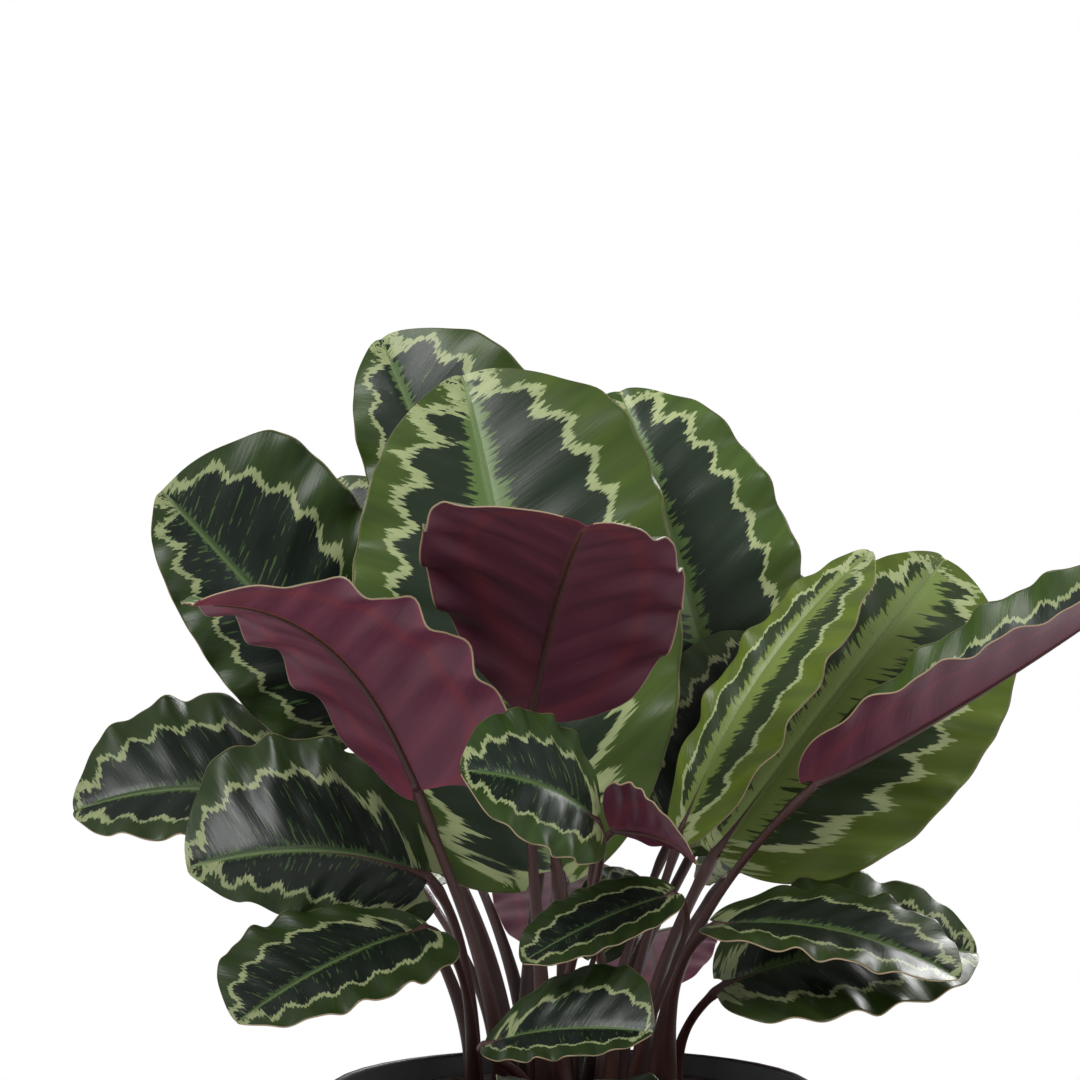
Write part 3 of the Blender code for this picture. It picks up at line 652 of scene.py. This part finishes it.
def makeLeaves():
    veinGroup = makeVeinGroup()
    upperSkin, underSkin, stemSkin = makeUpperSkin(veinGroup), makeUnderSkin(veinGroup), makeStemSkin()
    for number, (name, special) in enumerate(leaves.items()):
        leaf = {**usualLeaf, **special}
        makeBlade(name, leaf, number, upperSkin, underSkin)
        makeStem(name, leaf, number, stemSkin)
    print("leaves made:", len(leaves))


soilBuild = {"rings": 90, "sides": 160, "foot": 0.72, "middle": 0.0005, "belowLevel": 0.0015,
             "overCrown": 0.0016, "crownReach": 0.004, "wallRise": 0.0020, "roughness": 0.0011,
             "fineLumps": (60, 0.004, 0.012), "broadLumps": (40, 0.012, 0.04), "crumbs": 420, "fibres": 60,
             "crumbSize": (0.0006, 0.0022), "fibreStretch": (4.5, 0.28, 0.28), "seed": 4}
peatLook = {"damp": ((0.006, 0.004, 0.003), (0.028, 0.019, 0.013)), "speck": (0.110, 0.080, 0.055),
            "speckShare": 0.5, "roughness": 0.93}


def makePeat():
    # near-black damp peat with clods and a few pale specks
    material, tree, shader = newMaterial("peat", peatLook["roughness"])
    place = tree.nodes.new("ShaderNodeTexCoord").outputs["Object"]
    grains = noiseNode(tree, place, 900.0, 4.0, 0.7)
    clods = noiseNode(tree, place, 160.0, 2.0)
    colour = mixNode(tree, clods, *peatLook["damp"])
    speck = rampNode(tree, grains, 0.66, 0.72)
    shown = mathNode(tree, "MULTIPLY", speck, peatLook["speckShare"])
    colour = mixNode(tree, shown, colour, peatLook["speck"])
    plug(tree, colour, shader.inputs["Base Color"])
    plug(tree, bumpNode(tree, grains, 0.7, 0.0012), shader.inputs["Normal"])
    return material


def lumps(x, y, generator, waves, shortest, longest):
    # a sum of plane cosine waves of random direction, wavelength and phase, scaled to about -1..1
    total = np.zeros_like(x)
    for _ in range(waves):
        angle, phase = generator.uniform(0, 2 * math.pi, 2)
        wavelength = generator.uniform(shortest, longest)
        total += np.cos(2 * math.pi / wavelength * (x * math.cos(angle) + y * math.sin(angle)) + phase)
    return total / math.sqrt(waves)


def soilTop(generator, radii, angles, soilHigh, crownHigh):
    # height as a function of radius and angle: the level, plus a smooth mound over the rootstock and a
    # slight rise to the wall, plus fine and broad lumps that fade out on the mound
    build = soilBuild
    r, a = np.meshgrid(radii, angles, indexing="ij")
    x, y = r * np.cos(a), r * np.sin(a)
    reach = build["crownReach"]
    mound = 1 - smoothStep(np.hypot(x / (crownHigh.x + reach), y / (crownHigh.y + reach)), 0.75, 1.05)
    level = soilHigh.z - build["belowLevel"] + (crownHigh.z - soilHigh.z + build["overCrown"]) * mound
    level = level + build["wallRise"] * smoothStep(r, soilHigh.x * 0.7, soilHigh.x)
    rough = (lumps(x, y, generator, *build["fineLumps"]) * 0.5
             + lumps(x, y, generator, *build["broadLumps"]) * 0.5)
    return np.stack([x, y, level + build["roughness"] * rough * (1 - 0.75 * mound)], -1)


def makeSoil():
    # the lumpy top, then rings down the side and in along the bottom to the middle
    generator = np.random.default_rng(soilBuild["seed"])
    low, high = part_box("soil")
    foot = high.x * soilBuild["foot"]
    angles = np.linspace(0, 2 * math.pi, soilBuild["sides"], endpoint=False)
    radii = np.linspace(soilBuild["middle"], high.x, soilBuild["rings"])
    top = soilTop(generator, radii, angles, high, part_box("crown")[1])
    profile = np.array([(high.x, 0.12), (foot, 0.002), (foot - 0.003, 0.0), (soilBuild["middle"], 0.0)])
    r, a = np.meshgrid(profile[:, 0], angles, indexing="ij")
    side = np.stack([r * np.cos(a), r * np.sin(a), low.z + profile[:, 1:] + 0 * a], -1)
    rings = np.concatenate([top, side])
    rows, columns = rings.shape[:2]
    count = rows * columns
    k = np.arange(columns)
    n = (k + 1) % columns
    middles = [[0, 0, top[0, :, 2].mean()], [0, 0, low.z]]
    fans = [np.stack([np.full(columns, count), k, n], -1),
            np.stack([np.full(columns, count + 1), count - columns + n, count - columns + k], -1)]
    crumbPoints, crumbFaces = makeCrumbs(generator, top, count + 2)
    piece = newPiece("soil_peat", np.concatenate([rings.reshape(-1, 3), middles, crumbPoints]),
                     gridFaces(rows, columns, wrap=True, flip=True), [makePeat()],
                     triangles=np.concatenate([*fans, crumbFaces]))
    finishPiece(piece, "peat", "soil", "crown")
    print("soil made")


def makeCrumbs(generator, top, start):
    # small irregular octahedra half sunk in the top, each corner pushed in or out and the whole turned
    # about the upright; the last few are drawn out long as fibres
    count = soilBuild["crumbs"] + soilBuild["fibres"]
    ring = (np.sqrt(generator.uniform(0.16, 0.97, count)) * (len(top) - 1)).astype(int)
    spoke = generator.integers(0, top.shape[1], count)
    centres = top[ring, spoke]
    size = generator.uniform(*soilBuild["crumbSize"], count)
    stretch = np.ones((count, 3))
    stretch[soilBuild["crumbs"]:] = soilBuild["fibreStretch"]
    corners = np.array([(1, 0, 0), (-1, 0, 0), (0, 1, 0), (0, -1, 0), (0, 0, 1), (0, 0, -1)], float)
    dents = generator.uniform(0.6, 1.2, (count, 6, 1))
    shape = corners[None] * dents * stretch[:, None] * size[:, None, None]
    turn = generator.uniform(0, 2 * math.pi, count)
    x = shape[..., 0] * np.cos(turn)[:, None] - shape[..., 1] * np.sin(turn)[:, None]
    y = shape[..., 0] * np.sin(turn)[:, None] + shape[..., 1] * np.cos(turn)[:, None]
    points = np.stack([x, y, shape[..., 2]], -1) + centres[:, None]
    faces = np.array([(0, 2, 4), (2, 1, 4), (1, 3, 4), (3, 0, 4), (2, 0, 5), (1, 2, 5), (3, 1, 5), (0, 3, 5)])
    return points.reshape(-1, 3), (faces[None] + start + 6 * np.arange(count)[:, None, None]).reshape(-1, 3)


potLook = {"plastic": (0.008, 0.008, 0.009), "dust": (0.022, 0.020, 0.018), "roughness": (0.30, 0.25),
           "grain": 1400.0, "sharpAngle": 30, "weld": 0.00001}


def finishPot():
    # black moulded plastic: fine grain and a little dust, on the solid's own faces, welded so that the
    # turned wall shades round
    material, tree, shader = newMaterial("potPlastic", potLook["roughness"][0])
    place = tree.nodes.new("ShaderNodeTexCoord").outputs["Object"]
    grain = noiseNode(tree, place, potLook["grain"], 2.0)
    dust = noiseNode(tree, place, 35.0, 4.0, 0.65)
    colour = mixNode(tree, rampNode(tree, dust, 0.50, 0.80), potLook["plastic"], potLook["dust"])
    plug(tree, colour, shader.inputs["Base Color"])
    smoothest, varies = potLook["roughness"]
    plug(tree, mathNode(tree, "MULTIPLY_ADD", dust, varies, smoothest), shader.inputs["Roughness"])
    plug(tree, bumpNode(tree, grain, 0.15, 0.0003), shader.inputs["Normal"])
    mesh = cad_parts["pot"].data.copy()
    work = bmesh.new()
    work.from_mesh(mesh)
    bmesh.ops.remove_doubles(work, verts=work.verts, dist=potLook["weld"])
    work.to_mesh(mesh)
    work.free()
    mesh.shade_smooth()
    mesh.set_sharp_from_angle(angle=math.radians(potLook["sharpAngle"]))
    mesh.materials.clear()
    mesh.materials.append(material)
    pot = bpy.data.objects.new("pot_skin", mesh)
    bpy.context.scene.collection.objects.link(pot)
    finishPiece(pot, "pot_plastic", "pot")
    print("pot finished")


# lamps: (name, place, size, watts), all aimed at the middle of the foliage
studio = {"floorRadius": 0.80, "floorSides": 96, "floorHeight": -0.0002, "floorColour": (0.86, 0.86, 0.86),
          "worldLevel": 0.42, "lampsAim": (0.0, 0.0, 0.27),
          "lamps": (("keyLamp", (-1.0, -1.1, 1.5), 1.0, 27.0), ("fillLamp", (1.5, -1.2, 0.7), 1.2, 8.0),
                    ("backLamp", (0.7, 1.2, 1.3), 0.8, 20.0)),
          "cameraPlace": (-0.011, -1.6, 0.4083), "cameraDown": 2.35, "lens": 153.3}


def makeFloor():
    # a pale disc just under the pot
    sides, height = studio["floorSides"], studio["floorHeight"]
    angles = np.linspace(0, 2 * math.pi, sides, endpoint=False)
    outer = np.stack([np.cos(angles), np.sin(angles), np.zeros(sides)], -1) * studio["floorRadius"]
    outer[:, 2] = height
    k = np.arange(sides)
    material, _, shader = newMaterial("floorPale", 0.8)
    shader.inputs["Base Color"].default_value = (*studio["floorColour"], 1.0)
    floor = newPiece("floor", np.concatenate([outer, [[0, 0, height]]]), np.zeros((0, 4), int), [material],
                     triangles=np.stack([np.full(sides, sides), k, (k + 1) % sides], -1))


def makeLamps():
    for name, place, size, watts in studio["lamps"]:
        lamp = bpy.data.lights.new(name, "AREA")
        lamp.shape = "DISK"
        lamp.size = size
        lamp.energy = watts
        holder = bpy.data.objects.new(name, lamp)
        bpy.context.scene.collection.objects.link(holder)
        holder.location = place
        aim = Vector(studio["lampsAim"]) - Vector(place)
        holder.rotation_euler = aim.to_track_quat("-Z", "Y").to_euler()


def makeWorld():
    # white where the camera sees it, dimmer as light
    world = bpy.data.worlds.new("studio")
    bpy.context.scene.world = world
    world.use_nodes = True
    tree = world.node_tree
    background = tree.nodes["Background"]
    background.inputs["Color"].default_value = (1.0, 1.0, 1.0, 1.0)
    path = tree.nodes.new("ShaderNodeLightPath")
    level = mathNode(tree, "MULTIPLY_ADD", path.outputs["Is Camera Ray"], 1.0 - studio["worldLevel"],
                     studio["worldLevel"])
    plug(tree, level, background.inputs["Strength"])


def makeCamera():
    camera = bpy.data.cameras.new("camera")
    camera.lens = studio["lens"]
    camera.sensor_width = 36.0
    holder = bpy.data.objects.new("camera", camera)
    holder.location = studio["cameraPlace"]
    holder.rotation_euler = (math.radians(90 - studio["cameraDown"]), 0.0, 0.0)
    bpy.context.scene.collection.objects.link(holder)
    bpy.context.scene.camera = holder
    bpy.context.scene.view_settings.view_transform = "Standard"


makeCamera()
makeLamps()
makeWorld()
makeFloor()
print("studio set")
finishPot()
makeSoil()
makeLeaves()
